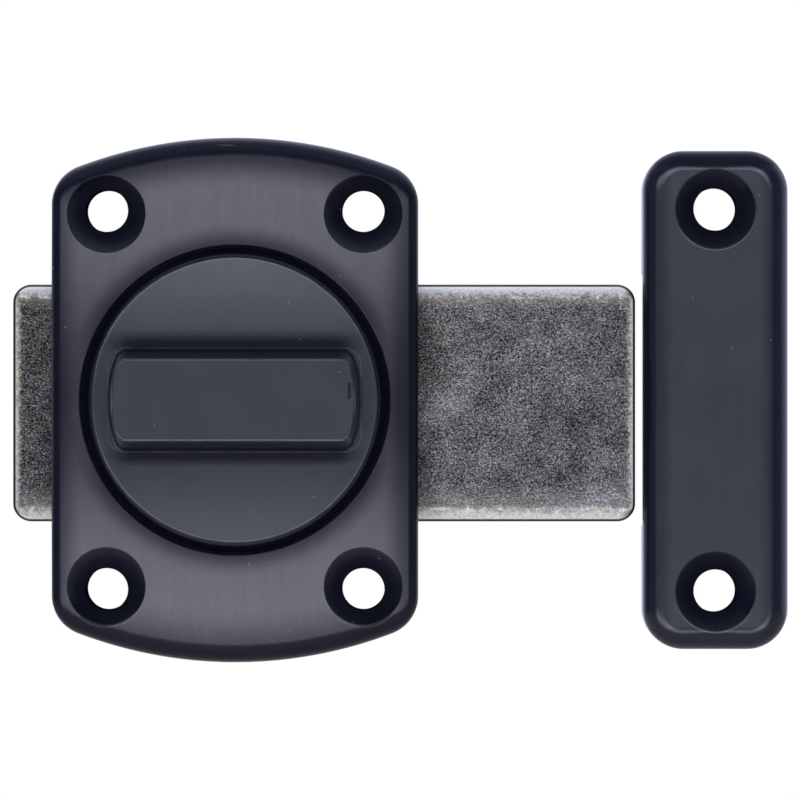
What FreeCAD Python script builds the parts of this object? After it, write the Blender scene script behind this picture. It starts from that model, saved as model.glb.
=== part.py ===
import FreeCAD, Part

import math
import os

import Sketcher

# Face-fixed toggle bolt latch: a turn knob drives a flat bolt blade sideways through a cast case, and a
# separate keep takes the blade's end. +X is the direction of throw, +Z is up and the face looks along -Y.
# The origin is the centre of the case's four fixing holes, on the back plane that lies on the door.
# Depths are counted from the back plane (0) forward, so a depth of 5 lies at Y = -5.

NUMBERS = {
    "case_width": 45.0,
    "case_height": 64.5,
    "case_arch_radius": 54.0,
    "case_corner_radius": 5.0,
    "case_crown_depth": 11.5,
    "case_crown_radius": 260.0,
    "case_side_rounding": 1.5,
    "case_end_rounding": 2.5,
    "case_hole_pitch_x": 31.5,
    "case_hole_pitch_z": 46.5,
    "case_hole_diameter": 5.2,
    "case_countersink_diameter": 9.5,
    "case_countersink_depth": 10.45,
    "countersink_run_out": 1.5,
    "countersink_lip": 0.2,
    "recess_diameter": 37.6,
    "recess_floor_depth": 8.9,
    "recess_lip": 0.35,
    "web_back_depth": 7.2,
    "web_bore_diameter": 10.2,
    "channel_height": 30.1,
    "channel_roof_depth": 4.35,
    "crank_pocket_diameter": 28.2,
    "blade_length": 76.7,
    "blade_height": 29.25,
    "blade_drop": 0.37,
    "blade_thickness": 3.0,
    "blade_back_depth": 1.15,
    "blade_edge_rounding": 2.0,
    "blade_corner_radius": 2.2,
    "blade_end_break": 0.3,
    "crank_radius": 10.9,
    "crank_pin_diameter": 3.5,
    "crank_pin_tip_depth": 1.35,
    "crank_pin_chamfer": 0.3,
    "pin_clearance": 0.25,
    "pin_side_play": 2.45,
    "crank_plate_diameter": 27.6,
    "crank_plate_thickness": 2.2,
    "crank_plate_back_depth": 4.5,
    "tang_size": 6.0,
    "tang_clearance": 0.05,
    "tang_length": 0.85,
    "shank_diameter": 10.0,
    "knob_back_depth": 9.4,
    "knob_face_depth": 13.0,
    "knob_diameter": 35.9,
    "knob_crown_radius": 255.0,
    "knob_edge_rounding": 0.6,
    "bar_height": 9.0,
    "bar_foot": 0.6,
    "bar_base_width": 12.25,
    "bar_top_width": 10.0,
    "bar_base_reach": 15.35,
    "bar_top_reach": 14.85,
    "bar_corner_radius": 1.4,
    "bar_top_rounding": 0.25,
    "bar_root_rounding": 0.35,
    "nick_reach": 14.1,
    "nick_rise": 1.1,
    "nick_width": 0.35,
    "nick_length": 1.9,
    "nick_sink": 0.6,
    "knob_screw_diameter": 3.0,
    "knob_screw_head": 5.5,
    "knob_screw_length": 7.5,
    "thread_clearance": 0.05,
    "screw_slot_width": 0.6,
    "screw_slot_deep": 0.5,
    "knob_washer_outer": 30.0,
    "washer_inner": 10.8,
    "spring_washer_outer": 17.0,
    "spring_washer_gauge": 0.3,
    "washer_gap": 0.05,
    "leaf_reach": 17.4,
    "leaf_width": 4.0,
    "leaf_length": 22.0,
    "leaf_gauge": 0.35,
    "leaf_bow": 0.9,
    "leaf_front_depth": 5.5,
    "leaf_pocket_width": 4.6,
    "leaf_pocket_length": 23.0,
    "leaf_pocket_depth": 5.55,
    "plate_height": 39.0,
    "plate_width": 44.6,
    "plate_thickness": 1.0,
    "plate_clearance": 0.1,
    "plate_corner_radius": 1.0,
    "plate_screw_pitch_x": 26.0,
    "plate_screw_pitch_z": 34.4,
    "plate_screw_diameter": 2.0,
    "plate_screw_head": 3.8,
    "plate_screw_clear_hole": 2.2,
    "plate_screw_length": 6.0,
    "plate_screw_hole_depth": 6.6,
    "keep_width": 17.85,
    "keep_height": 61.3,
    "keep_depth": 8.5,
    "keep_corner_radius": 5.0,
    "keep_rounding": 2.4,
    "keep_gap": 27.6,
    "keep_hole_pitch": 47.0,
    "keep_hole_diameter": 5.3,
    "keep_countersink_diameter": 9.75,
    "keep_pocket_height": 31.0,
    "keep_pocket_depth": 5.0,
    "keep_pocket_reach": 15.85,
}

THROUGH = "30"  # length of a cut that has to run clear of the piece
NEAR = 1e-4  # two lengths closer than this are the same
RIM_BAND = 0.6  # how far a hole's rim may stray from a circle where it opens on a curved face

doc = FreeCAD.newDocument("toggle_bolt_latch")
sheet = doc.addObject("Spreadsheet::Sheet", "Dim")


def fill_sheet():
    for row, (alias, number) in enumerate(NUMBERS.items(), start=1):
        sheet.set(f"A{row}", alias.replace("_", " "))
        sheet.set(f"B{row}", str(number))
        sheet.setAlias(f"B{row}", alias)
    doc.recompute()


def named(formula):
    """The formula with each sheet alias written as Dim.alias, ready for setExpression."""
    words = formula.replace("(", "( ").replace(")", " )").split()
    return " ".join("Dim." + word if word in NUMBERS else word for word in words)


def size(formula):
    return float(sheet.evalExpression(named(formula)))


def bind(item, field, formula):
    item.setExpression(field, named(formula))


# Bodies, sketches and features


def new_body(name, depth="0", across="0", rise="0"):
    """A body whose own origin lies `depth` in front of the back plane."""
    body = doc.addObject("PartDesign::Body", name)
    body.Label = name
    bind(body, "Placement.Base.x", across)
    bind(body, "Placement.Base.y", f"0 - ( {depth} )")
    bind(body, "Placement.Base.z", rise)
    return body


def new_sketch(body, role, ahead="0"):
    """A sketch on one of the body's origin planes. On XZ_Plane its normal points to the front."""
    sketch = body.newObject("Sketcher::SketchObject", "Sketch")
    plane = next(item for item in body.Origin.OriginFeatures if item.Role == role)
    sketch.AttachmentSupport = [(plane, "")]
    sketch.MapMode = "FlatFace"
    bind(sketch, "AttachmentOffset.Base.z", ahead)
    return sketch


def bind_point(sketch, side, end, across, up):
    for kind, formula in (("DistanceX", across), ("DistanceY", up)):
        index = sketch.addConstraint(Sketcher.Constraint(kind, side, end, size(formula)))
        bind(sketch, f"Constraints[{index}]", formula)


def arc_side(start, finish, radius, bulge):
    """The short arc between two points, bulging to the right (+1) or left (-1) of the way it is walked."""
    chord = finish - start
    half = chord.Length / 2
    drop = math.sqrt(radius**2 - half**2)
    left = FreeCAD.Vector(-chord.y, chord.x, 0).normalize()
    centre = (start + finish) / 2 + left * (drop * bulge)
    ends = [start - centre, finish - centre]
    angles = [math.atan2(end.y, end.x) for end in ends]
    if bulge < 0:
        angles.reverse()
    circle = Part.Circle(centre, FreeCAD.Vector(0, 0, 1), radius)
    if angles[1] < angles[0]:
        angles[1] += 2 * math.pi
    return Part.ArcOfCircle(circle, angles[0], angles[1])


def outline(sketch, corners):
    """A closed outline. A corner is (x, y), or (x, y, radius, bulge) where an arc leaves it."""
    points = [FreeCAD.Vector(size(corner[0]), size(corner[1]), 0) for corner in corners]
    ends = []
    for number, corner in enumerate(corners):
        start = points[number]
        finish = points[(number + 1) % len(points)]
        if len(corner) == 2:
            side = sketch.addGeometry(Part.LineSegment(start, finish))
            ends.append((side, 1, 2))
            continue
        radius, bulge = corner[2:]
        side = sketch.addGeometry(arc_side(start, finish, size(radius), bulge))
        ends.append((side, 1, 2) if bulge > 0 else (side, 2, 1))
        index = sketch.addConstraint(Sketcher.Constraint("Radius", side, size(radius)))
        bind(sketch, f"Constraints[{index}]", radius)
    for number, (side, _, last) in enumerate(ends):
        following, first, _ = ends[(number + 1) % len(ends)]
        sketch.addConstraint(Sketcher.Constraint("Coincident", side, last, following, first))
    for (side, first, _), corner in zip(ends, corners):
        bind_point(sketch, side, first, corner[0], corner[1])


def rectangle(sketch, width, height, across="0", up="0"):
    left = f"{across} - ( {width} ) / 2"
    right = f"{across} + ( {width} ) / 2"
    low = f"{up} - ( {height} ) / 2"
    high = f"{up} + ( {height} ) / 2"
    outline(sketch, [(left, low), (right, low), (right, high), (left, high)])


def rounded_rectangle(sketch, width, height, radius, across="0", up="0"):
    left = f"{across} - ( {width} ) / 2"
    right = f"{across} + ( {width} ) / 2"
    low = f"{up} - ( {height} ) / 2"
    high = f"{up} + ( {height} ) / 2"
    inset = f"( {radius} )"
    corners = [
        (f"{left} + {inset}", low),
        (f"{right} - {inset}", low, inset, 1),
        (right, f"{low} + {inset}"),
        (right, f"{high} - {inset}", inset, 1),
        (f"{right} - {inset}", high),
        (f"{left} + {inset}", high, inset, 1),
        (left, f"{high} - {inset}"),
        (left, f"{low} + {inset}", inset, 1),
    ]
    values = [(size(corner[0]), size(corner[1])) for corner in corners]
    following = values[1:] + values[:1]
    kept = [corner for corner, here, then in zip(corners, values, following) if math.dist(here, then) > NEAR]
    outline(sketch, kept)


def circle(sketch, diameter, across="0", up="0"):
    centre = FreeCAD.Vector(size(across), size(up), 0)
    side = sketch.addGeometry(Part.Circle(centre, FreeCAD.Vector(0, 0, 1), size(diameter) / 2))
    index = sketch.addConstraint(Sketcher.Constraint("Diameter", side, size(diameter)))
    bind(sketch, f"Constraints[{index}]", diameter)
    bind_point(sketch, side, 3, across, up)


def four_circles(sketch, diameter, pitch_x, pitch_z):
    for side in ("-1", "1"):
        for level in ("-1", "1"):
            circle(sketch, diameter, f"{pitch_x} / 2 * {side}", f"{pitch_z} / 2 * {level}")


def pad(body, sketch, length, symmetric=False, backward=False):
    feature = body.newObject("PartDesign::Pad", "Pad")
    feature.Profile = sketch
    feature.Reversed = backward
    feature.SideType = "Symmetric" if symmetric else "One side"
    bind(feature, "Length", length)
    doc.recompute()
    return feature


def pocket(body, sketch, length=THROUGH, forward=True, symmetric=False, taper=0):
    """A cut from the sketch, toward the front unless forward is False; it has to remove something."""
    before = body.Tip.Shape.Volume
    feature = body.newObject("PartDesign::Pocket", "Pocket")
    feature.Profile = sketch
    feature.SideType = "Symmetric" if symmetric else "One side"
    feature.Reversed = forward
    feature.TaperAngle = taper
    bind(feature, "Length", length)
    doc.recompute()
    if feature.Shape.Volume > before - NEAR:
        raise RuntimeError(f"{body.Label}: the cut from {sketch.Name} removes nothing")
    return feature


def revolve(body, sketch):
    """A full turn about the body's Y axis."""
    feature = body.newObject("PartDesign::Revolution", "Revolution")
    feature.Profile = sketch
    axis = next(item for item in body.Origin.OriginFeatures if item.Role == "Y_Axis")
    feature.ReferenceAxis = (axis, [""])
    feature.Angle = 360
    doc.recompute()
    return feature


def edge_names(shape, test):
    return [f"Edge{number}" for number, edge in enumerate(shape.Edges, start=1) if test(edge)]


def soften(body, kind, test, amount):
    """Fillet or Chamfer on the edges of the body's last feature that pass the test."""
    base = body.Tip
    names = edge_names(base.Shape, test)
    if not names:
        raise RuntimeError(f"{body.Label}: no edge to soften")
    feature = body.newObject(f"PartDesign::{kind}", kind)
    feature.Base = (base, names)
    bind(feature, "Radius" if kind == "Fillet" else "Size", amount)
    doc.recompute()
    return feature


def span(edge, axis):
    """Lowest and highest value of the edge along one axis."""
    box = edge.BoundBox
    return (getattr(box, axis + "Min"), getattr(box, axis + "Max"))


def runs_along(edge, axis):
    """A straight edge along one axis."""
    others = [span(edge, other) for other in "XYZ" if other != axis]
    flat = all(high - low < NEAR for low, high in others)
    return flat and edge.Length > NEAR and isinstance(edge.Curve, Part.Line)


def at(edge, axis, place):
    low, high = span(edge, axis)
    return abs(low - place) < NEAR and abs(high - place) < NEAR


def reaches(edge, across=0, up=0):
    """How far points along the edge lie from a line along Y, for lines mirrored to (+-across, +-up)."""
    return [math.hypot(abs(point.x) - across, abs(point.z) - up) for point in edge.discretize(9)]


def countersinks(body, circles, hole, head, face_depth, forward=True):
    """90 degree cones around holes that are there already; they have the head's size at face_depth."""
    rise = f"( {head} - {hole} ) / 2"
    narrow_end = f"{face_depth} - {rise}" if forward else f"{face_depth} + {rise}"
    sketch = new_sketch(body, "XZ_Plane", narrow_end)
    circles(sketch, hole)
    pocket(body, sketch, f"{rise} + countersink_run_out", forward, taper=45)


# Sub-parts


def case_outline(sketch):
    """Straight sides, with arched top and bottom ends."""
    sagitta = "( case_arch_radius - sqrt( case_arch_radius ^ 2 - ( case_width / 2 ) ^ 2 ) )"
    right, left = "case_width / 2", "0 - case_width / 2"
    high = f"case_height / 2 - {sagitta}"
    low = f"0 - ( {high} )"
    outline(sketch, [
        (left, low, "case_arch_radius", 1),
        (right, low),
        (right, high, "case_arch_radius", 1),
        (left, high),
    ])


def crown_cut(body):
    """Takes everything in front of the crowned face away: an arc about a line along X."""
    sketch = new_sketch(body, "YZ_Plane")
    high = "case_height * 0.52"
    low = f"0 - ( {high} )"
    edge = f"0 - case_crown_depth + case_crown_radius - sqrt( case_crown_radius ^ 2 - ( {high} ) ^ 2 )"
    clear = f"0 - case_crown_depth - {THROUGH}"
    outline(sketch, [(edge, high, "case_crown_radius", 1), (edge, low), (clear, low), (clear, high)])
    pocket(body, sketch, "case_width * 2", symmetric=True)


def case_fixing_circles(sketch, diameter):
    four_circles(sketch, diameter, "case_hole_pitch_x", "case_hole_pitch_z")


def plate_screw_circles(sketch, diameter):
    four_circles(sketch, diameter, "plate_screw_pitch_x", "plate_screw_pitch_z")


def cut_from_back(body, draw, depth):
    sketch = new_sketch(body, "XZ_Plane")
    draw(sketch)
    pocket(body, sketch, depth)


def hollow_case(body):
    """Room at the back for the cover plate, the blade, the crank plate and the leaf springs."""
    plate_room = "plate_height + plate_clearance * 2"
    cut_from_back(body, lambda sketch: rectangle(sketch, "case_width * 2", plate_room),
                  "plate_thickness + plate_clearance / 2")
    cut_from_back(body, lambda sketch: rectangle(sketch, "case_width * 2", "channel_height"),
                  "channel_roof_depth")
    cut_from_back(body, lambda sketch: circle(sketch, "crank_pocket_diameter"), "web_back_depth")
    cut_from_back(body, lambda sketch: circle(sketch, "web_bore_diameter"), THROUGH)
    for side in ("-1", "1"):
        cut_from_back(body, lambda sketch: rectangle(sketch, "leaf_pocket_width", "leaf_pocket_length",
                                                     f"leaf_reach * {side}"), "leaf_pocket_depth")
    screw_hole = "plate_screw_diameter + thread_clearance * 2"
    cut_from_back(body, lambda sketch: plate_screw_circles(sketch, screw_hole), "plate_screw_hole_depth")


def roll_front_edge(blank, behind, radius_at):
    """Rolls the edges that lie in front of the depth `behind`; the radius may change along an edge."""
    edges = []
    for number, edge in enumerate(blank.Shape.Edges, start=1):
        if edge.BoundBox.YMax < -size(behind):
            radii = [radius_at(end) for end in (edge.Vertexes[0], edge.Vertexes[-1])]
            edges.append((number, *radii))
    rolled = doc.addObject("Part::Fillet", f"{blank.Label}_rolled")
    rolled.Base = blank
    rolled.Edges = edges
    doc.recompute()
    return rolled


def case_rolling(end):
    """Less along the case's straight sides than along its arches."""
    on_side = abs(end.X) > size("case_width / 2") - NEAR
    return size("case_side_rounding" if on_side else "case_end_rounding")


def blade_rolling(end):
    """Rolled along the blade's long sides; its sheared ends are only broken."""
    on_side = abs(end.Z) > size("blade_height / 2") - NEAR
    return size("blade_edge_rounding" if on_side else "blade_end_break")


def make_case():
    blank = new_body("case_blank")
    sketch = new_sketch(blank, "XZ_Plane")
    case_outline(sketch)
    pad(blank, sketch, "case_crown_depth")
    soften(blank, "Fillet", lambda edge: runs_along(edge, "Y"), "case_corner_radius")
    crown_cut(blank)
    body = new_body("case")
    body.BaseFeature = roll_front_edge(blank, "case_crown_depth / 2", case_rolling)
    doc.recompute()
    hollow_case(body)
    recess = new_sketch(body, "XZ_Plane", "recess_floor_depth")
    circle(recess, "recess_diameter")
    pocket(body, recess)
    cut_from_back(body, lambda sketch: case_fixing_circles(sketch, "case_hole_diameter"), THROUGH)
    countersinks(body, case_fixing_circles, "case_hole_diameter", "case_countersink_diameter",
                 "case_countersink_depth")
    floor = size("recess_floor_depth") + NEAR
    soften(body, "Fillet", lambda edge: is_rim(edge, "recess_diameter", 0, 0, floor), "recess_lip")
    across, up = size("case_hole_pitch_x / 2"), size("case_hole_pitch_z / 2")
    soften(body, "Fillet", lambda edge: is_rim(edge, "case_countersink_diameter", across, up, floor),
           "countersink_lip")
    return body


def is_rim(edge, diameter, across, up, behind):
    """Part of the edge where a hole of this size opens on the face, at any of (+-across, +-up).

    The whole edge lies in front of the depth `behind`, so the hole's inner edges don't count.
    """
    if edge.BoundBox.YMax > -behind:
        return False
    return all(abs(reach - size(diameter) / 2) < RIM_BAND for reach in reaches(edge, across, up))


def make_keep():
    """Strike box, open at the back and on the side that faces the blade."""
    body = new_body("keep", across="case_width / 2 + keep_gap + keep_width / 2")
    sketch = new_sketch(body, "XZ_Plane")
    rectangle(sketch, "keep_width", "keep_height")
    pad(body, sketch, "keep_depth")
    soften(body, "Fillet", lambda edge: runs_along(edge, "Y"), "keep_corner_radius")
    soften(body, "Fillet", lambda edge: at(edge, "Y", -size("keep_depth")), "keep_rounding")
    room = new_sketch(body, "XZ_Plane")
    rectangle(room, "keep_pocket_reach * 2", "keep_pocket_height", "0 - keep_width / 2")
    pocket(body, room, "keep_pocket_depth")
    cut_from_back(body, lambda sketch: keep_fixing_circles(sketch, "keep_hole_diameter"), THROUGH)
    countersinks(body, keep_fixing_circles, "keep_hole_diameter", "keep_countersink_diameter", "keep_depth")
    up = size("keep_hole_pitch / 2")
    face = size("keep_depth") - NEAR
    soften(body, "Fillet", lambda edge: is_rim(edge, "keep_countersink_diameter", 0, up, face),
           "countersink_lip")
    return body


def keep_fixing_circles(sketch, diameter):
    for level in ("-1", "1"):
        circle(sketch, diameter, up=f"keep_hole_pitch / 2 * {level}")


def make_blade():
    """Flat bar with rolled long edges, lying on the channel's lower side.

    Its opening is wider than the crank pin, because the pin doesn't lead it evenly along the travel.
    """
    blank = new_body("blade_blank")
    sketch = new_sketch(blank, "XZ_Plane")
    rounded_rectangle(sketch, "blade_length", "blade_height", "blade_corner_radius")
    pad(blank, sketch, "blade_thickness")
    body = new_body("bolt_blade", "blade_back_depth", "crank_radius", "0 - blade_drop")
    body.BaseFeature = roll_front_edge(blank, "blade_thickness / 2", blade_rolling)
    doc.recompute()
    reach = "( crank_pin_diameter / 2 + pin_clearance )"
    opening = new_sketch(body, "XZ_Plane")
    rounded_rectangle(opening, f"( pin_side_play + {reach} ) * 2", f"crank_radius + {reach} * 2",
                      f"pin_side_play + {reach}", up="crank_radius / 2 + blade_drop")
    pocket(body, opening)
    return body


def make_back_plate():
    body = new_body("back_plate")
    sketch = new_sketch(body, "XZ_Plane")
    rounded_rectangle(sketch, "plate_width", "plate_height", "plate_corner_radius")
    pad(body, sketch, "plate_thickness")
    cut_from_back(body, lambda sketch: plate_screw_circles(sketch, "plate_screw_clear_hole"), THROUGH)
    countersinks(body, plate_screw_circles, "plate_screw_clear_hole", "plate_screw_head", "0", forward=False)
    return body


def make_screw(name, depth, across, rise, shank, head, length):
    """Countersunk slotted screw, head at the back, with its head's flat at the given depth."""
    body = new_body(name, depth, across, rise)
    profile = new_sketch(body, "XY_Plane")
    cone_end = f"0 - ( {head} - {shank} ) / 2"
    outline(profile, [
        ("0", "0"),
        ("0", f"0 - {length}"),
        (f"{shank} / 2", f"0 - {length}"),
        (f"{shank} / 2", cone_end),
        (f"{head} / 2", "0"),
    ])
    revolve(body, profile)
    slot = new_sketch(body, "XZ_Plane")
    rectangle(slot, f"{head} * 2", "screw_slot_width")
    pocket(body, slot, "screw_slot_deep")
    return body


def mirrored(source, name, normal):
    image = doc.addObject("Part::Mirroring", name)
    image.Source = source
    image.Normal = normal
    return image


def make_plate_screws():
    """One screw, mirrored to the plate's four corners."""
    screw = make_screw("plate_screw", "0", "0 - plate_screw_pitch_x / 2", "0 - plate_screw_pitch_z / 2",
                       "plate_screw_diameter", "plate_screw_head", "plate_screw_length")
    across = mirrored(screw, "plate_screw_across", FreeCAD.Vector(1, 0, 0))
    above = mirrored(screw, "plate_screw_above", FreeCAD.Vector(0, 0, 1))
    opposite = mirrored(across, "plate_screw_opposite", FreeCAD.Vector(0, 0, 1))
    group = doc.addObject("Part::Compound", "back_plate_screws")
    group.Label = "back_plate_screws"
    group.Links = [screw, across, above, opposite]
    doc.recompute()
    return group


def make_crank_plate():
    """Disc with a square seat for the knob's tang in front and a countersink for its screw behind."""
    body = new_body("crank_plate", "crank_plate_back_depth")
    sketch = new_sketch(body, "XZ_Plane")
    circle(sketch, "crank_plate_diameter")
    circle(sketch, "crank_pin_diameter", "crank_radius")
    screw_hole = "( knob_screw_diameter + thread_clearance * 2 )"
    circle(sketch, screw_hole)
    pad(body, sketch, "crank_plate_thickness")
    seat = new_sketch(body, "XZ_Plane", "crank_plate_thickness - tang_length")
    seat_size = "tang_size + tang_clearance * 2"
    rectangle(seat, seat_size, seat_size)
    pocket(body, seat)
    countersinks(body, circle, screw_hole, "( knob_screw_head + thread_clearance * 2 )", "0", forward=False)
    return body


def make_crank_pin():
    body = new_body("crank_pin", "crank_pin_tip_depth", "crank_radius")
    sketch = new_sketch(body, "XZ_Plane")
    circle(sketch, "crank_pin_diameter")
    pad(body, sketch, "crank_plate_back_depth + crank_plate_thickness - crank_pin_tip_depth")
    soften(body, "Chamfer", lambda edge: at(edge, "Y", 0), "crank_pin_chamfer")
    return body


def grip_end_to_end(sketch, width, reach):
    """The grip bar's section: long sides straight, ends on a circle about the knob's axis."""
    end = f"sqrt( ( {reach} ) ^ 2 - ( {width} / 2 ) ^ 2 )"
    high, low = f"{width} / 2", f"0 - {width} / 2"
    outline(sketch, [
        (f"0 - {end}", low),
        (end, low, reach, 1),
        (end, high),
        (f"0 - {end}", high, reach, 1),
    ])


def turn_crowned_disc(body, height):
    """The knob's disc, with a spherical crown in front; `height` is its height on the axis."""
    rim_drop = "( knob_crown_radius - sqrt( knob_crown_radius ^ 2 - ( knob_diameter / 2 ) ^ 2 ) )"
    profile = new_sketch(body, "XY_Plane")
    outline(profile, [
        ("0", "0"),
        ("0", f"0 - {height}", "knob_crown_radius", 1),
        ("knob_diameter / 2", f"0 - {height} + {rim_drop}"),
        ("knob_diameter / 2", "0"),
    ])
    revolve(body, profile)
    rim = size(f"0 - {height} + {rim_drop}")
    soften(body, "Fillet", lambda edge: at(edge, "Y", rim), "knob_edge_rounding")


def raise_grip_bar(body, height):
    """The grip bar, from a foot sunk in the disc's crown to its flat top, with its edges rounded."""
    base = new_sketch(body, "XZ_Plane", f"{height} - bar_foot")
    grip_end_to_end(base, "bar_base_width", "bar_base_reach")
    top = new_sketch(body, "XZ_Plane", f"{height} + bar_height")
    grip_end_to_end(top, "bar_top_width", "bar_top_reach")
    bar = body.newObject("PartDesign::AdditiveLoft", "Bar")
    bar.Profile = base
    bar.Sections = [top]
    bar.Ruled = True
    doc.recompute()
    face = -size(height)
    crest = face - size("bar_height")
    soften(body, "Fillet", lambda edge: abs(edge.BoundBox.YMin - crest) < NEAR < edge.BoundBox.YLength,
           "bar_corner_radius")
    soften(body, "Fillet", lambda edge: at(edge, "Y", crest), "bar_top_rounding")
    foot_reach = size("bar_base_reach") + NEAR
    soften(body, "Fillet", lambda edge: edge.BoundBox.YMin > face and max(reaches(edge)) < foot_reach,
           "bar_root_rounding")


def make_knob():
    """Disc and grip bar in front, round shank and square tang behind, tapped for the crank's screw."""
    body = new_body("turn_knob", "knob_back_depth")
    disc_height = "( knob_face_depth - knob_back_depth )"
    turn_crowned_disc(body, disc_height)
    raise_grip_bar(body, disc_height)
    shank_length = "( knob_back_depth - crank_plate_back_depth - crank_plate_thickness )"
    shank = new_sketch(body, "XZ_Plane")
    circle(shank, "shank_diameter")
    pad(body, shank, shank_length, backward=True)
    tang = new_sketch(body, "XZ_Plane", f"0 - {shank_length}")
    rectangle(tang, "tang_size", "tang_size")
    pad(body, tang, "tang_length", backward=True)
    tapping = new_sketch(body, "XZ_Plane", f"0 - {shank_length} - tang_length")
    circle(tapping, "knob_screw_diameter + thread_clearance * 2")
    pocket(body, tapping, "knob_screw_length")
    nick = new_sketch(body, "XZ_Plane", f"{disc_height} + bar_height - nick_sink")
    rectangle(nick, "nick_width", "nick_length", "nick_reach", "nick_rise")
    pocket(body, nick)
    return body


def make_knob_washer():
    body = new_body("knob_washer", "recess_floor_depth")
    sketch = new_sketch(body, "XZ_Plane")
    circle(sketch, "knob_washer_outer")
    circle(sketch, "washer_inner")
    pad(body, sketch, "knob_back_depth - recess_floor_depth - washer_gap")
    return body


def make_spring_washer():
    """Slightly coned ring; its inner edge leans on the case's web and its outer edge on the crank plate."""
    body = new_body("spring_washer", "web_back_depth")
    room = "( web_back_depth - crank_plate_back_depth - crank_plate_thickness - washer_gap )"
    profile = new_sketch(body, "XY_Plane")
    outline(profile, [
        ("washer_inner / 2", "0"),
        ("washer_inner / 2", "spring_washer_gauge"),
        ("spring_washer_outer / 2", room),
        ("spring_washer_outer / 2", f"{room} - spring_washer_gauge"),
    ])
    revolve(body, profile)
    return body


def make_leaf_spring(name, side):
    """Bowed strip in a pocket of the channel's roof; its middle leans toward the blade."""
    body = new_body(name, "leaf_front_depth", f"leaf_reach * {side}")
    bend = "( leaf_length ^ 2 / 4 + leaf_bow ^ 2 ) / ( 2 * leaf_bow )"
    high, low = "leaf_length / 2", "0 - leaf_length / 2"
    profile = new_sketch(body, "YZ_Plane")
    outline(profile, [
        ("0", low, bend, 1),
        ("0", high),
        ("leaf_gauge", high, bend, -1),
        ("leaf_gauge", low),
    ])
    pad(body, profile, "leaf_width", symmetric=True)
    return body


def check_document():
    for item in doc.Objects:
        if any(word in item.State for word in ("Invalid", "Error")):
            raise RuntimeError(f"{item.Label}: {item.State}")


def write_parts(sub_parts):
    os.makedirs("parts", exist_ok=True)
    for item in sub_parts:
        shape = item.Shape
        if shape.isNull() or not shape.isValid():
            raise RuntimeError(f"{item.Label}: no valid shape")
        shape.exportStep(f"parts/{item.Label}.step")
        print(f"{item.Label}: {len(shape.Solids)} solid(s), {shape.Volume:.1f} mm3")


fill_sheet()
sub_parts = [
    make_case(),
    make_back_plate(),
    make_plate_screws(),
    make_leaf_spring("friction_spring_left", "-1"),
    make_leaf_spring("friction_spring_right", "1"),
    make_knob_washer(),
    make_spring_washer(),
    make_knob(),
    make_crank_plate(),
    make_crank_pin(),
    make_screw("knob_screw", "crank_plate_back_depth", "0", "0", "knob_screw_diameter", "knob_screw_head",
               "knob_screw_length"),
    make_blade(),
    make_keep(),
]
check_document()
write_parts(sub_parts)
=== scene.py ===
import math

import bpy
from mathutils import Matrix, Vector


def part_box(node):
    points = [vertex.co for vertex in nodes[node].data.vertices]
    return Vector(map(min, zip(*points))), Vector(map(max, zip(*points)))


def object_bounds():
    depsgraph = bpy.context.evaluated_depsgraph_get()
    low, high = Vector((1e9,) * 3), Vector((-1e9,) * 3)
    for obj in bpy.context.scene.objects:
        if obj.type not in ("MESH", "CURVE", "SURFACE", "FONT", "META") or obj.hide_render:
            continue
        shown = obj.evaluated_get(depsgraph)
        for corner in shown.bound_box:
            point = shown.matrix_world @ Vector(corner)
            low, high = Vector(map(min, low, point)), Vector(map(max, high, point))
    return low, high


# Looks for the toggle bolt latch: satin black enamel on the cast case, knob and keep, a mottled steel
# blade with bright rolled edges, and zinc plate, spring steel and nylon on the pieces behind.

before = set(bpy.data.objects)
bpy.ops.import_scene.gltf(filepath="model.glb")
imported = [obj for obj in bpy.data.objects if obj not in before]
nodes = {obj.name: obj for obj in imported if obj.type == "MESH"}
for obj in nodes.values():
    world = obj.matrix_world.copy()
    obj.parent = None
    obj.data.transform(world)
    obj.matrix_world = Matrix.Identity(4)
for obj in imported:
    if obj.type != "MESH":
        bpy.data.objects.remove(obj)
cad_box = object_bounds()
scene = bpy.context.scene
scene.view_settings.view_transform = "Standard"

MILLIMETRES = 1000  # in a metre: object coordinates are in metres

# Places on the pieces, in millimetres in the frame. Depths are negative, and lower toward the front.
CASE_FRONT_FROM = -7.4  # in front of this depth are the case's face, rolls, recess and cones
CASE_FACE_FROM = -9.0
CASE_ARCH_RADIUS = 54.0
CASE_ARCH_CENTRE = 21.75  # each arch's centre, past the middle of the case
CASE_HOLE_ACROSS = 15.75
CASE_BORE_UP = 23.25
CASE_BORE_RADIUS = 2.6
CASE_CONE_UP = 22.95  # middle of the cone's rim on the crowned face
CASE_RIM_RADIUS = 4.92
CASE_KNOCK_UP = 31.3
CASE_KNOCK_ACROSS = -1.5
RECESS_RADIUS = 18.8
KEEP_FRONT_FROM = -4.4  # in front of this depth are the keep's face, rolls and cones
KEEP_FACE_FROM = -7.0
KEEP_HOLE_UP = 23.5
KEEP_BORE_RADIUS = 2.65
KEEP_RIM_RADIUS = 5.08
DISC_FACE_DEPTH = -13.0
DISC_FACE_RADIUS = 17.35
BAR_TOP_DEPTH = -22.0
BAR_TOP_LINE = (14.78, 4.93, 1.3)  # half width, half height and corner radius of the painted highlight line
BAR_FOOT_LINE = (15.48, 6.36, 2.0)
BLADE_CORNER_RADIUS = 2.2
CASE_SIDE = 22.5  # where the blade leaves the case


# Shader nodes


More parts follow.
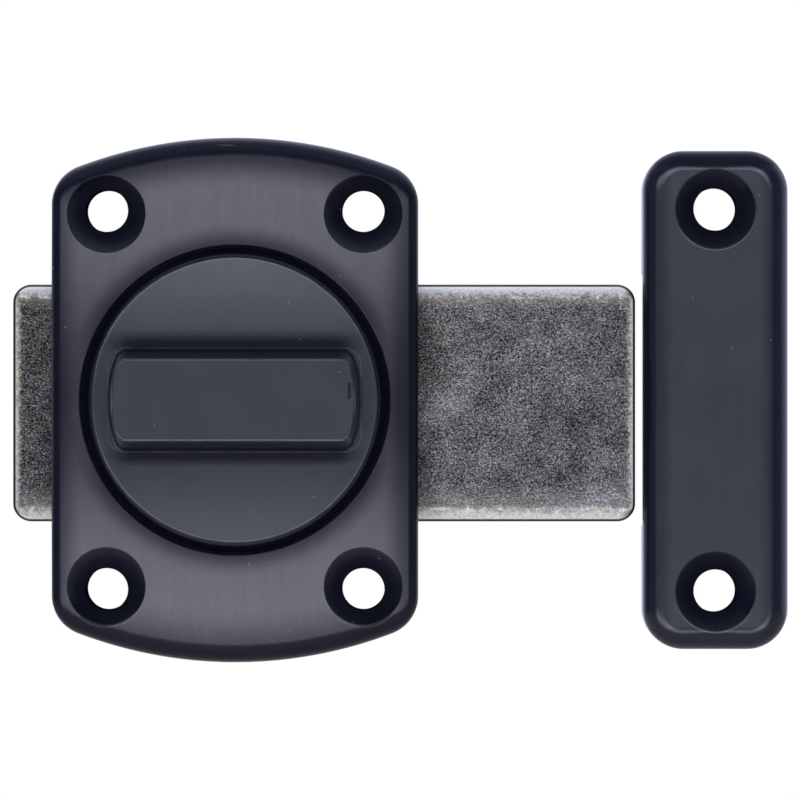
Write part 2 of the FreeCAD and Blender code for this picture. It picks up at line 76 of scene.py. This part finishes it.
class Graph:
    """A tree of shader nodes."""

    def __init__(self, tree):
        self.tree = tree

    def add(self, kind, **settings):
        node = self.tree.nodes.new(kind)
        for setting, value in settings.items():
            setattr(node, setting, value)
        return node

    def link(self, source, socket):
        self.tree.links.new(source, socket)

    def feed(self, socket, value):
        """Links a node's output to the socket, or sets the socket to a plain value."""
        if isinstance(value, bpy.types.NodeSocket):
            self.link(value, socket)
        else:
            socket.default_value = value

    def work(self, operation, *terms):
        node = self.add("ShaderNodeMath", operation=operation)
        for socket, term in zip(node.inputs, terms):
            self.feed(socket, term)
        return node.outputs[0]

    def chain(self, operation, terms):
        result = terms[0]
        for term in terms[1:]:
            result = self.work(operation, result, term)
        return result

    def plus(self, *terms):
        return self.chain("ADD", terms)

    def times(self, *factors):
        return self.chain("MULTIPLY", factors)

    def most(self, *terms):
        return self.chain("MAXIMUM", terms)

    def minus(self, first, second):
        return self.work("SUBTRACT", first, second)

    def magnitude(self, term):
        return self.work("ABSOLUTE", term)

    def length(self, first, second):
        return self.work("SQRT", self.plus(self.times(first, first), self.times(second, second)))

    def from_outline(self, across, up, half_width, half_height, corner):
        """Distance outward from a rounded rectangle centred on the origin."""
        past_side = self.most(self.minus(self.magnitude(across), half_width - corner), 0.0)
        past_top = self.most(self.minus(self.magnitude(up), half_height - corner), 0.0)
        return self.minus(self.length(past_side, past_top), corner)

    def line(self, distance, half_width):
        """1 where the distance is near zero, fading out at `half_width`."""
        return self.remap(self.magnitude(distance), half_width * 0.4, half_width, 1, 0)

    def split(self, vector):
        node = self.add("ShaderNodeSeparateXYZ")
        self.link(vector, node.inputs[0])
        return node.outputs

    def dot(self, first, second):
        node = self.add("ShaderNodeVectorMath", operation="DOT_PRODUCT")
        self.feed(node.inputs[0], first)
        self.feed(node.inputs[1], second)
        return node.outputs["Value"]

    def remap(self, value, low, high, to_low=0.0, to_high=1.0, smooth=True):
        kind = "SMOOTHSTEP" if smooth else "LINEAR"
        node = self.add("ShaderNodeMapRange", interpolation_type=kind)
        for socket, term in zip(node.inputs[:5], (value, low, high, to_low, to_high)):
            self.feed(socket, term)
        return node.outputs[0]

    def mix(self, factor, first, second):
        node = self.add("ShaderNodeMix", data_type="RGBA")
        self.feed(node.inputs["Factor"], factor)
        for label, colour in (("A", first), ("B", second)):
            socket = next(item for item in node.inputs if item.name == label and item.type == "RGBA")
            self.feed(socket, colour)
        return next(item for item in node.outputs if item.type == "RGBA")


class Surface(Graph):
    """The nodes of one material. Places are in millimetres, in the piece's own coordinates."""

    def __init__(self, name, shift=(0, 0, 0)):
        self.material = bpy.data.materials.new(name)
        self.material.use_nodes = True
        super().__init__(self.material.node_tree)
        self.shader = self.tree.nodes["Principled BSDF"]
        coordinates = self.add("ShaderNodeTexCoord")
        scale = self.add("ShaderNodeVectorMath", operation="SCALE")
        scale.inputs["Scale"].default_value = MILLIMETRES
        self.link(coordinates.outputs["Object"], scale.inputs[0])
        self.place = scale.outputs[0]
        moved = self.add("ShaderNodeVectorMath", operation="ADD")
        moved.inputs[1].default_value = shift
        self.link(self.place, moved.inputs[0])
        self.texture_place = moved.outputs[0]

    def set(self, name, value):
        self.feed(self.shader.inputs[name], value)

    def stretched(self, stretch, turn=0):
        """Texture place scaled along each axis, after a turn about the Y axis in degrees."""
        node = self.add("ShaderNodeMapping")
        node.inputs["Scale"].default_value = stretch
        node.inputs["Rotation"].default_value = (0, math.radians(turn), 0)
        self.link(self.texture_place, node.inputs["Vector"])
        return node.outputs[0]

    def noise(self, per_mm, detail=2.0, roughness=0.5, stretch=(1, 1, 1), turn=0, distortion=0.0):
        """Noise from 0 to 1, about 0.5 on average, with about `per_mm` blotches to a millimetre."""
        node = self.add("ShaderNodeTexNoise")
        node.inputs["Scale"].default_value = per_mm
        node.inputs["Detail"].default_value = detail
        node.inputs["Roughness"].default_value = roughness
        node.inputs["Distortion"].default_value = distortion
        self.link(self.stretched(stretch, turn), node.inputs["Vector"])
        return node.outputs[0]

    def specks(self, cell_mm, radius_mm, share):
        """Sparse round specks: one in each cell of a grid, shown in only a share of the cells."""
        node = self.add("ShaderNodeTexVoronoi")
        node.inputs["Scale"].default_value = 1 / cell_mm
        self.link(self.stretched((1, 0.25, 1)), node.inputs["Vector"])
        radius = radius_mm / cell_mm
        near = self.remap(node.outputs["Distance"], radius * 0.6, radius, 1, 0)
        chance = self.split(node.outputs["Color"])[0]
        return self.times(near, self.work("LESS_THAN", chance, share))

    def scratches(self, per_mm, length_ratio, turn, share):
        """Thin hairlines along one direction: the crests of a noise drawn out lengthwise."""
        lines = self.noise(per_mm, 1.0, 0.5, (1 / length_ratio, 1, 1), turn)
        crest = self.remap(self.magnitude(self.minus(lines, 0.5)), 0, 0.02, 1, 0)
        patch = self.remap(self.noise(0.09, 2.0, 0.6, turn=turn + 40), 1 - share, 1.12 - share)
        return self.times(crest, patch)

    def edges(self, radius_mm):
        """1 where the surface turns within the radius, 0 on flat or gently curved stretches."""
        bevel = self.add("ShaderNodeBevel", samples=6)
        bevel.inputs["Radius"].default_value = radius_mm / MILLIMETRES
        normal = self.add("ShaderNodeNewGeometry").outputs["Normal"]
        return self.remap(self.dot(bevel.outputs[0], normal), 0.80, 0.985, 1, 0)

    def bump(self, *heights):
        """Relief from (height, depth in millimetres) pairs, the deepest first."""
        normal = None
        for height, depth in heights:
            node = self.add("ShaderNodeBump")
            node.inputs["Strength"].default_value = 1
            node.inputs["Distance"].default_value = depth / MILLIMETRES
            self.feed(node.inputs["Height"], height)
            if normal:
                self.link(normal, node.inputs["Normal"])
            normal = node.outputs[0]
        self.link(normal, self.shader.inputs["Normal"])


# Shine and lightening on the enamelled castings, for painted shade and painted highlights. The shade mask
# is the share of the shine taken away to paint shade, and is negative where the shine is raised; the
# lightening mask is how far the enamel is lightened, for a scuff and for painted highlights.


def case_painted_shade(graph):
    """Painted shade on the case, by shine taken away: down the recess and the screw holes, round the recess
    above and below the knob, and toward the arched ends and the sides."""
    across, deep, up = graph.split(graph.place)
    front = graph.remap(deep, CASE_FRONT_FROM - 0.8, CASE_FRONT_FROM, 1, 0)
    steep = graph.magnitude(up)
    reach = graph.length(across, up)
    # Painted shade down the recess and the gap round the knob, and on the face round it above and below.
    recess = graph.remap(reach, RECESS_RADIUS - 0.10, RECESS_RADIUS + 0.15, 0.96, 0)
    ring = graph.remap(reach, RECESS_RADIUS + 0.1, RECESS_RADIUS + 3.1, 0.70, 0)
    ring = graph.times(ring, graph.remap(graph.work("DIVIDE", steep, reach), 0.15, 0.60))
    beside = graph.minus(graph.magnitude(across), CASE_HOLE_ACROSS)
    cone = graph.length(beside, graph.minus(steep, CASE_CONE_UP))
    # Painted shade in the countersinks and down the bores.
    cones = graph.remap(cone, CASE_RIM_RADIUS - 0.26, CASE_RIM_RADIUS - 0.02, 0.42, 0)
    bore = graph.length(beside, graph.minus(steep, CASE_BORE_UP))
    bores = graph.remap(bore, CASE_BORE_RADIUS + 0.04, CASE_BORE_RADIUS + 0.20, 1, 0)
    # Painted shade toward the arched ends and the sides.
    arch = graph.plus(graph.length(across, graph.plus(steep, CASE_ARCH_CENTRE)), -CASE_ARCH_RADIUS)
    upper_end = graph.plus(graph.remap(arch, -6.4, -2.0, 0, 0.78), graph.remap(arch, -2.0, -1.2, 0, -0.14))
    lower_end = graph.remap(arch, -7.0, -0.4, 0, 0.72)
    is_upper = graph.work("GREATER_THAN", up, 0.0)
    end = graph.remap(is_upper, 0, 1, lower_end, upper_end, smooth=False)
    right_side = graph.remap(across, 17.6, 21.2, 0, 0.66)
    left_side = graph.remap(across, -22.6, -18.4, 0.80, 0)
    seen = graph.most(recess, ring, cones, end, right_side, left_side)
    return graph.most(graph.times(seen, front), bores)


def case_knock_and_rim_highlight(graph):
    """A knock that has bruised the enamel along the top edge, and a painted highlight on the rims of the
    lower screw holes.
    """
    across, deep, up = graph.split(graph.place)
    from_knock = graph.minus(across, CASE_KNOCK_ACROSS)
    sag = graph.times(graph.times(from_knock, from_knock), 0.035)
    knock = graph.line(graph.minus(graph.plus(up, sag), CASE_KNOCK_UP), 0.10)
    knock = graph.times(knock, graph.line(graph.minus(from_knock, 0.4), 1.5))
    # Painted highlight: a thin bright line on the lower side of the rims of the lower screw holes.
    beside = graph.minus(graph.magnitude(across), CASE_HOLE_ACROSS)
    cone = graph.length(beside, graph.plus(up, CASE_CONE_UP))
    rim = graph.line(graph.minus(cone, CASE_RIM_RADIUS), 0.09)
    rim = graph.times(rim, graph.remap(up, -27.5, -24.5, 0.30, 0))
    face = graph.remap(deep, CASE_FACE_FROM - 0.6, CASE_FACE_FROM, 1, 0)
    return graph.times(graph.most(knock, rim), face)


def keep_place(graph):
    """Place on the keep: across from its middle, depth, height, then how far past the nearer hole and how
    far from it."""
    low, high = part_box("keep")
    across, deep, up = graph.split(graph.place)
    across = graph.minus(across, (low.x + high.x) / 2 * MILLIMETRES)
    past_hole = graph.minus(graph.magnitude(up), KEEP_HOLE_UP)
    return across, deep, up, past_hole, graph.length(across, past_hole)


def keep_painted_shade(graph):
    """Painted shade on the keep, by shine taken away: down its two screw holes and toward its rolled edges.
    """
    across, deep, up, _, hole = keep_place(graph)
    # Where none of the painted shade below falls, the shine on the face is raised by this much.
    raised_shine = -0.12
    cones = graph.remap(hole, KEEP_RIM_RADIUS - 0.18, KEEP_RIM_RADIUS + 0.07, 0.48, raised_shine)
    bores = graph.remap(hole, KEEP_BORE_RADIUS + 0.04, KEEP_BORE_RADIUS + 0.20, 1, raised_shine)
    beside = graph.magnitude(across)
    sides = graph.plus(graph.remap(beside, 4.9, 6.9, raised_shine, 0.34), graph.remap(beside, 7.0, 8.0, 0, -0.12))
    upper_end = graph.remap(up, 27.8, 29.2, raised_shine, 0.74)
    lower_end = graph.remap(up, -28.4, -27.6, 0.42, raised_shine)
    seen = graph.most(cones, sides, upper_end, lower_end)
    front = graph.remap(deep, KEEP_FRONT_FROM - 1.0, KEEP_FRONT_FROM, 1, 0)
    return graph.most(graph.times(seen, front), bores)


def keep_rim_highlight(graph):
    """A painted highlight: a thin bright line on the lower rims of the keep's screw holes."""
    _, deep, up, past_hole, hole = keep_place(graph)
    above_hole = graph.times(past_hole, graph.work("SIGN", up))
    rim = graph.line(graph.minus(hole, KEEP_RIM_RADIUS), 0.09)
    rim = graph.times(rim, graph.remap(above_hole, -4.6, -1.0, 0.55, 0))
    return graph.times(rim, graph.remap(deep, KEEP_FACE_FROM - 0.6, KEEP_FACE_FROM, 1, 0))


def knob_painted_shade(graph):
    """Painted shade on the knob, by shine taken away: a painted shadow on the sides of the grip bar and the
    disc beside it, and shade on the disc's lower half and on the bevel round it. The shine on the top of
    the bar is raised."""
    across, deep, up = graph.split(graph.place)
    just_below, well_below = BAR_TOP_DEPTH + 0.05, BAR_TOP_DEPTH + 0.25
    below_top = graph.remap(deep, just_below, well_below)
    raised_shine = graph.remap(deep, just_below, well_below, -0.26, 0)
    steep = graph.magnitude(up)
    # Painted shadow on the disc beside the grip bar, less on the bar's own sides.
    beside_bar = graph.remap(steep, 6.9, 9.0, 0.82, 0)
    bar_side = graph.remap(steep, 5.9, 6.2, -0.36, 0)
    along_bar = graph.remap(graph.magnitude(across), 12.4, 17.4, 1, 0)
    foot = graph.times(below_top, graph.plus(beside_bar, bar_side), along_bar)
    # Painted shade on the disc's lower half and on its bevel.
    lower_half = graph.remap(up, -9.0, -4.0, 0.28, 0)
    reach = graph.length(across, up)
    bevel = graph.remap(reach, DISC_FACE_RADIUS + 0.07, DISC_FACE_RADIUS + 0.25, 0, 0.50)
    return graph.plus(graph.most(foot, lower_half, bevel), raised_shine)


def knob_line_highlights(graph):
    """Painted highlights: thin bright lines where the disc's face meets its bevel, and round the top and
    the foot of the grip bar."""
    across, deep, up = graph.split(graph.place)
    reach = graph.length(across, up)
    steep = graph.work("DIVIDE", graph.magnitude(up), reach)
    rim = graph.line(graph.minus(reach, DISC_FACE_RADIUS - 0.03), 0.11)
    rim = graph.times(rim, graph.remap(steep, 0.2, 0.9, 0.12, 0.34))
    top = graph.line(graph.from_outline(across, up, *BAR_TOP_LINE), 0.10)
    top = graph.times(top, graph.remap(deep, BAR_TOP_DEPTH + 0.3, BAR_TOP_DEPTH + 0.5, 1, 0))
    top = graph.times(top, graph.remap(up, -5.0, 5.0, 0.60, 0.30))
    foot = graph.line(graph.from_outline(across, up, *BAR_FOOT_LINE), 0.07)
    foot = graph.times(foot, graph.remap(deep, DISC_FACE_DEPTH - 1.2, DISC_FACE_DEPTH - 0.8, 0, 0.34))
    patches = graph.remap(graph.noise(0.5, 3.0, 0.6), 0.3, 0.55, 0.4, 1)
    return graph.times(graph.most(rim, top, foot), patches)


# Materials


def enamel(name, shift, shade_mask, lightening_mask, tint):
    """Satin black stoved enamel over a zinc casting: faint streaks, dust, hairlines and a painted highlight
    along sharp edges.
    Its two masks give where shine is taken away to paint shade, and where the enamel is lightened for
    scuffs and painted highlights."""
    graph = Surface(name, shift)
    painted_shade = shade_mask(graph)
    scuffs_and_highlight = lightening_mask(graph)
    clouds = graph.noise(0.22, 3.0, 0.55)
    streaks = graph.noise(1.6, 3.0, 0.6, (1, 1, 0.07))
    fine = graph.noise(3.4, 2.0, 0.6)
    dust = graph.specks(1.6, 0.10, 0.16)
    grit = graph.specks(5.5, 0.12, 0.12)
    hair = graph.scratches(2.2, 22, 12, 0.30)
    # Painted highlight with a little rubbing: a lighter, smoother line along sharp edges, broken into
    # patches.
    rubbed = graph.times(graph.edges(0.18), graph.remap(graph.noise(0.7, 3.0, 0.6), 0.36, 0.60))
    marks = graph.most(dust, graph.times(grit, 0.5))
    tone = graph.mix(clouds, (0.0036, 0.0042, 0.0105, 1), (0.0058, 0.0066, 0.0150, 1))
    tone = graph.mix(graph.times(rubbed, 0.45), tone, (0.085, 0.085, 0.095, 1))
    tone = graph.mix(graph.times(hair, 0.10), tone, (0.06, 0.06, 0.065, 1))
    # Lightened where the second mask says: a scuff, and painted highlight lines on rims and edges.
    tone = graph.mix(scuffs_and_highlight, tone, (0.13, 0.13, 0.145, 1))
    graph.set("Base Color", graph.mix(graph.times(marks, 0.55), tone, (0.30, 0.29, 0.28, 1)))
    rough = graph.plus(
        graph.remap(clouds, 0.3, 0.7, 0.162, 0.176), graph.times(streaks, 0.050), graph.times(fine, 0.056))
    graph.set("Roughness", graph.minus(rough, graph.times(rubbed, 0.10)))
    uneven = graph.plus(graph.times(streaks, 0.16), graph.times(fine, 0.22))
    shine = graph.minus(0.714, graph.times(uneven, 0.60))
    # Shine is taken away to paint shade, and raised where the shade mask is negative.
    graph.set("Specular IOR Level", graph.times(graph.minus(1.0, painted_shade), shine))
    graph.set("Specular Tint", tint)
    graph.bump(
        (graph.noise(0.16, 2.0, 0.5), 0.012),
        (graph.noise(1.4, 2.0, 0.5), 0.0018),
        (fine, 0.0016),
        (marks, 0.004),
    )
    return graph.material


def blade_steel(name):
    """Darkened plate over cold-rolled steel: salt-and-pepper grain, faint drag marks along the throw, a
    painted shadow where it leaves the case, and rolled edges rubbed bare and lightened further as a painted
    highlight, inside a thin painted dark line of shade."""
    low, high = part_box("bolt_blade")
    low, high = low * MILLIMETRES, high * MILLIMETRES
    middle = (low + high) / 2
    half = (high - low) / 2
    graph = Surface(name, (11, 3, 7))
    across, _, up = graph.split(graph.place)
    along = graph.minus(across, middle.x)
    from_middle = graph.minus(up, middle.z)
    below_top = graph.minus(high.z, up)
    above_bottom = graph.minus(up, low.z)
    from_end = graph.minus(half.x, graph.magnitude(along))
    grain = graph.noise(4.4, 2.0, 0.70, (0.85, 1, 1.1), distortion=0.8)
    speckle = graph.noise(7.5, 1.0, 0.6)
    drawn = graph.noise(3.6, 3.0, 0.65, (0.16, 1, 1), 2)
    patches = graph.noise(0.45, 4.0, 0.62, (0.8, 1, 1))
    clouds = graph.noise(0.09, 2.0, 0.5)
    hair = graph.scratches(2.6, 30, -4, 0.34)

    # Painted highlight on the rolled top and bottom edges, with faint tails inward and a little at the
    # ends.
    wobble = graph.times(graph.minus(graph.noise(1.6, 4.0, 0.75), 0.5), 1.8)
    rolled_top = graph.remap(graph.plus(below_top, wobble), 0.8, 2.1, 1, 0)
    rolled_bottom = graph.remap(graph.plus(above_bottom, wobble), 0.3, 2.4, 1, 0)
    bright = graph.most(
        graph.work("POWER", rolled_top, 1.5), graph.remap(below_top, 1.5, 3.4, 0.07, 0),
        graph.work("POWER", rolled_bottom, 1.4), graph.remap(above_bottom, 1.5, 5.0, 0.07, 0),
        graph.remap(graph.plus(from_end, wobble), 0.1, 1.2, 0.30, 0))
    past_outline = graph.from_outline(along, from_middle, half.x, half.z, BLADE_CORNER_RADIUS)
    # Painted shade: a thin dark line just inside the edge, dark and not metallic.
    painted_edge_shade = graph.remap(past_outline, -0.38, -0.22)

    layers = ((grain, 0.56), (speckle, 0.26), (drawn, 0.10), (patches, 0.14), (clouds, 0.10))
    value = graph.plus(*[graph.times(layer, weight) for layer, weight in layers])
    # Painted shadow where the blade leaves the case.
    case_shadow = graph.remap(across, CASE_SIDE - 0.1, CASE_SIDE + 3.5, -0.030, 0)
    level = graph.remap(graph.plus(value, case_shadow), 0.485, 0.715, 0.15, 1.0, smooth=False)
    warmth = graph.times(
        graph.remap(graph.noise(1.1, 3.0, 0.7), 0.38, 0.66),
        graph.remap(across, CASE_SIDE - 0.5, CASE_SIDE + 15.5, 1.0, 0.35))
    crest = graph.mix(warmth, (0.275, 0.268, 0.312, 1), (0.305, 0.285, 0.262, 1))
    plate = graph.mix(graph.work("POWER", level, 2.2), (0.0, 0.0, 0.0, 1), crest)
    tone = graph.mix(graph.times(hair, 0.18), plate, (0.50, 0.50, 0.52, 1))
    # Painted warm light: the edges' highlight colour and the reflection tint are warmer on the upper edge
    # than the lower.
    upper = graph.remap(up, -6, 6)
    rubbed = graph.mix(upper, (1.0, 0.98, 0.98, 1), (1.0, 0.93, 0.82, 1))
    scuffs_and_highlight = graph.mix(graph.remap(grain, 0.36, 0.58), (0.72, 0.70, 0.68, 1), rubbed)
    tone = graph.mix(bright, tone, scuffs_and_highlight)
    graph.set("Base Color", graph.mix(painted_edge_shade, tone, (0.012, 0.011, 0.012, 1)))
    graph.set("Metallic", graph.minus(1.0, painted_edge_shade))
    graph.set("Specular IOR Level", 0.1)
    graph.set("Specular Tint", graph.mix(upper, (1, 1, 1, 1), (1.0, 0.90, 0.74, 1)))
    graph.set("Roughness", graph.remap(grain, 0.3, 0.7, 0.34, 0.52))
    graph.bump((patches, 0.008), (drawn, 0.003), (grain, 0.009))
    return graph.material


def zinc_plate(name, shift, direction=(1, 1, 1), depth=0.0):
    """Bright zinc plate with a faint brushed grain and the plating's milky clouds; `depth` darkens it."""
    graph = Surface(name, shift)
    brushed = graph.noise(5.0, 3.0, 0.6, direction)
    clouds = graph.noise(0.35, 4.0, 0.6)
    spots = graph.specks(1.9, 0.10, 0.08)
    tone = graph.mix(graph.remap(clouds, 0.3, 0.7), (0.40, 0.42, 0.46, 1), (0.62, 0.64, 0.66, 1))
    tone = graph.mix(graph.times(brushed, 0.35), tone, (0.30, 0.31, 0.33, 1))
    tone = graph.mix(graph.times(spots, 0.35), tone, (0.78, 0.78, 0.76, 1))
    tone = graph.mix(graph.times(graph.edges(0.2), 0.3), tone, (0.80, 0.81, 0.82, 1))
    graph.set("Base Color", graph.mix(depth, tone, (0.10, 0.10, 0.11, 1)))
    graph.set("Metallic", 1.0)
    rough = graph.remap(clouds, 0.3, 0.7, 0.30, 0.42)
    graph.set("Roughness", graph.plus(rough, graph.times(brushed, 0.08)))
    graph.bump((clouds, 0.006), (brushed, 0.0020))
    return graph.material


def spring_steel(name, shift):
    """Blued and oiled strip: brown and blue tones with fine rolling lines along the strip."""
    graph = Surface(name, shift)
    lines = graph.noise(8.0, 3.0, 0.6, (1, 1, 0.08))
    temper = graph.noise(0.25, 3.0, 0.6)
    tone = graph.mix(graph.remap(temper, 0.3, 0.7), (0.10, 0.12, 0.19, 1), (0.20, 0.17, 0.14, 1))
    graph.set("Base Color", graph.mix(graph.times(lines, 0.4), tone, (0.32, 0.33, 0.36, 1)))
    graph.set("Metallic", 1.0)
    graph.set("Roughness", graph.remap(lines, 0.3, 0.7, 0.24, 0.40))
    graph.bump((lines, 0.0015))
    return graph.material


def nylon(name, shift):
    """Milky moulded nylon with a fine matt texture and a few rubbed rings."""
    graph = Surface(name, shift)
    across, _, up = graph.split(graph.place)
    ripple = graph.work("SINE", graph.times(graph.length(across, up), 14.0))
    rings = graph.remap(ripple, -1, 1, 0, 1)
    mottle = graph.noise(1.1, 3.0, 0.6)
    tone = graph.mix(mottle, (0.56, 0.54, 0.47, 1), (0.70, 0.68, 0.61, 1))
    graph.set("Base Color", graph.mix(graph.times(rings, 0.12), tone, (0.32, 0.31, 0.29, 1)))
    graph.set("Roughness", graph.remap(mottle, 0.3, 0.7, 0.38, 0.52))
    graph.bump((graph.noise(4.0, 2.0, 0.5), 0.003), (rings, 0.001))
    return graph.material


WARM_TINT = (0.82, 0.815, 0.93, 1)
COOL_TINT = (0.80, 0.825, 0.98, 1)
ALONG_THE_SHEET = (0.06, 1, 1)

# The shift moves each material's noise, so that no two pieces carry the same marks.
FINISHES = {
    "case": enamel("enamel_case", (0, 0, 0), case_painted_shade, case_knock_and_rim_highlight, WARM_TINT),
    "turn_knob": enamel("enamel_knob", (40, 17, 23), knob_painted_shade, knob_line_highlights, COOL_TINT),
    "keep": enamel("enamel_keep", (83, 29, 61), keep_painted_shade, keep_rim_highlight, COOL_TINT),
    "bolt_blade": blade_steel("darkened_plate"),
    "back_plate": zinc_plate("zinc_sheet", (5, 9, 2), ALONG_THE_SHEET),
    "back_plate_screws": zinc_plate("zinc_screws", (31, 4, 12), depth=0.6),
    "crank_plate": zinc_plate("zinc_crank", (17, 6, 44)),
    "crank_pin": zinc_plate("zinc_pin", (71, 13, 9)),
    "knob_screw": zinc_plate("zinc_screw", (13, 21, 35)),
    "friction_spring_left": spring_steel("spring_left", (3, 8, 1)),
    "friction_spring_right": spring_steel("spring_right", (47, 2, 19)),
    "spring_washer": spring_steel("spring_washer_steel", (23, 5, 6)),
    "knob_washer": nylon("washer_nylon", (9, 1, 14)),
}
for node_name, finish in FINISHES.items():
    slots = nodes[node_name].data.materials
    slots.clear()
    slots.append(finish)


# Camera, floor and studio light. Lengths are in metres.

VIEW_DISTANCE = 1.105
LENS = 401.8
SENSOR_WIDTH = 36
FLOOR_DEPTH = -0.6
FLOOR_REACH = 3.0
SOFTBOX_SIZE = (1.1, 0.30)
SOFTBOX_RISE = 0.27

low, high = cad_box
view_centre = Vector(((low[0] + high[0]) / 2, 0, 0))


def make_camera():
    data = bpy.data.cameras.new("camera")
    data.lens = LENS
    data.sensor_width = SENSOR_WIDTH
    data.clip_end = 10
    camera = bpy.data.objects.new("camera", data)
    camera.location = view_centre + Vector((0, -VIEW_DISTANCE, 0))
    camera.rotation_euler = (math.radians(90), 0, 0)
    scene.collection.objects.link(camera)
    scene.camera = camera


def make_floor():
    """A wide pale floor, well below the latch, which is fixed to an upright door."""
    mesh = bpy.data.meshes.new("floor")
    signs = ((-1, -1), (1, -1), (1, 1), (-1, 1))
    corners = [(x * FLOOR_REACH, y * FLOOR_REACH, FLOOR_DEPTH) for x, y in signs]
    mesh.from_pydata(corners, [], [(0, 1, 2, 3)])
    floor = bpy.data.objects.new("floor", mesh)
    scene.collection.objects.link(floor)
    graph = Surface("pale_floor")
    tone = graph.mix(graph.noise(0.004, 3.0), (0.84, 0.76, 0.62, 1), (0.88, 0.80, 0.65, 1))
    graph.set("Base Color", tone)
    graph.set("Roughness", 0.8)
    mesh.materials.append(graph.material)


def make_world():
    """Bluish white all round, brighter behind the latch and overhead; the camera sees plain white."""
    world = bpy.data.worlds.new("studio")
    scene.world = world
    world.use_nodes = True
    world.node_tree.nodes.clear()
    graph = Graph(world.node_tree)
    direction = graph.add("ShaderNodeTexCoord").outputs["Generated"]
    backward = graph.dot(direction, Vector((0.30, 0.95, 0.0)).normalized())
    behind = graph.remap(backward, -0.15, 0.75, 0.30, 1.3)
    overhead = graph.remap(graph.magnitude(graph.split(direction)["Z"]), 0.45, 0.90, 0.0, 0.5)
    lit = graph.add("ShaderNodeBackground")
    lit.inputs["Color"].default_value = (0.72, 0.80, 1.0, 1)
    graph.link(graph.plus(behind, overhead), lit.inputs["Strength"])
    seen = graph.add("ShaderNodeBackground")
    seen.inputs["Color"].default_value = (1, 1, 1, 1)
    choice = graph.add("ShaderNodeMixShader")
    graph.link(graph.add("ShaderNodeLightPath").outputs["Is Camera Ray"], choice.inputs[0])
    graph.link(lit.outputs[0], choice.inputs[1])
    graph.link(seen.outputs[0], choice.inputs[2])
    graph.link(choice.outputs[0], graph.add("ShaderNodeOutputWorld").inputs[0])


def make_softbox(name, rise, radiance):
    """A soft rectangular lamp aimed at the latch from in front, with an even brightness of `radiance`."""
    width, height = SOFTBOX_SIZE
    data = bpy.data.lights.new(name, "AREA")
    data.shape = "RECTANGLE"
    data.size = width
    data.size_y = height
    data.energy = radiance * math.pi * width * height
    lamp = bpy.data.objects.new(name, data)
    lamp.location = Vector((-0.1, -1.0, rise))
    lamp.rotation_euler = (view_centre - lamp.location).to_track_quat("-Z", "Y").to_euler()
    scene.collection.objects.link(lamp)


make_camera()
make_floor()
make_world()
make_softbox("upper_softbox", SOFTBOX_RISE, 3.7)
make_softbox("lower_softbox", -SOFTBOX_RISE, 4.1)
